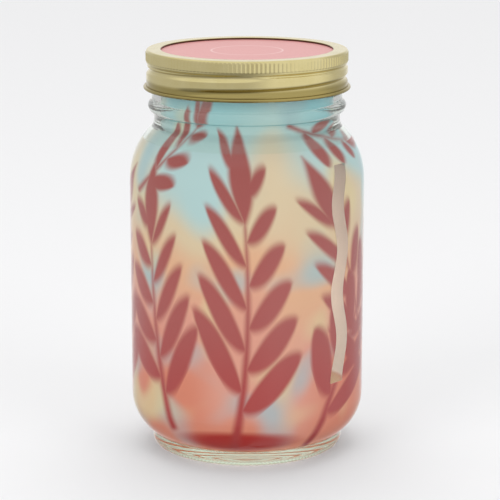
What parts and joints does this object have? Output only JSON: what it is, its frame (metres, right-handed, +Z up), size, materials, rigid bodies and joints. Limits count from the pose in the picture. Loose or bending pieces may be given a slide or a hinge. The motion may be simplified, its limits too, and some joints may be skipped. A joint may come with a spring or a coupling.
{
  "type": "hydroponic jar planter",
  "caption": "Wide-mouth glass jar planter with a screw band and sealing disc; a steel net pot, growing plug and felt wick hang inside the neck.",
  "frame": {"origin": "middle of the jar's foot, on the surface that it stands on", "axes": "+Z up along the jar's axis; -Y is the front, as pictured, and the clear window is to the right of it"},
  "size_m": [0.103, 0.103, 0.177],
  "materials": {
    "clear_glass": "clear pressed glass, glossy",
    "colour_print": "soft sprayed colour blends behind the glass",
    "gold_sheet": "gold lacquered tinplate, satin",
    "pink_lacquer": "pink lacquered tinplate, satin",
    "sealing_ring": "matt sealing compound",
    "pot_steel": "satin stainless steel",
    "coir": "pressed coconut fibre",
    "felt": "white needled felt",
    "seed_paper": "plain uncoated paper",
    "food_film": "plain sealed film",
    "card": "plain uncoated card"
  },
  "bodies": {
    "jar": {"jar": "clear_glass", "colour_coat": "colour_print", "pot_rim": "pot_steel", "pot_wall": "pot_steel", "pot_base": "pot_steel", "growing_plug": "coir", "wick": "felt", "seed_packet": "seed_paper", "food_packet": "food_film", "guide_card": "card"},
    "lid": {"lid_disc": "pink_lacquer", "lid_seal": "sealing_ring"},
    "band": {"screw_band": "gold_sheet"}
  },
  "joints": [
    {"name": "lid_rise", "type": "slide", "parent": "jar", "child": "lid", "axis": [0, 0, 1], "range_m": [0, 0.0224]},
    {"name": "band_turn", "type": "hinge", "parent": "lid", "child": "band", "pos_m": [0, 0, 0.17], "axis": [0, 0, 1], "range_deg": [0, 1260]}
  ],
  "couplings": [
    {"joint": "lid_rise", "follows": "band_turn", "m_per_rad": 0.0010106}
  ]
}
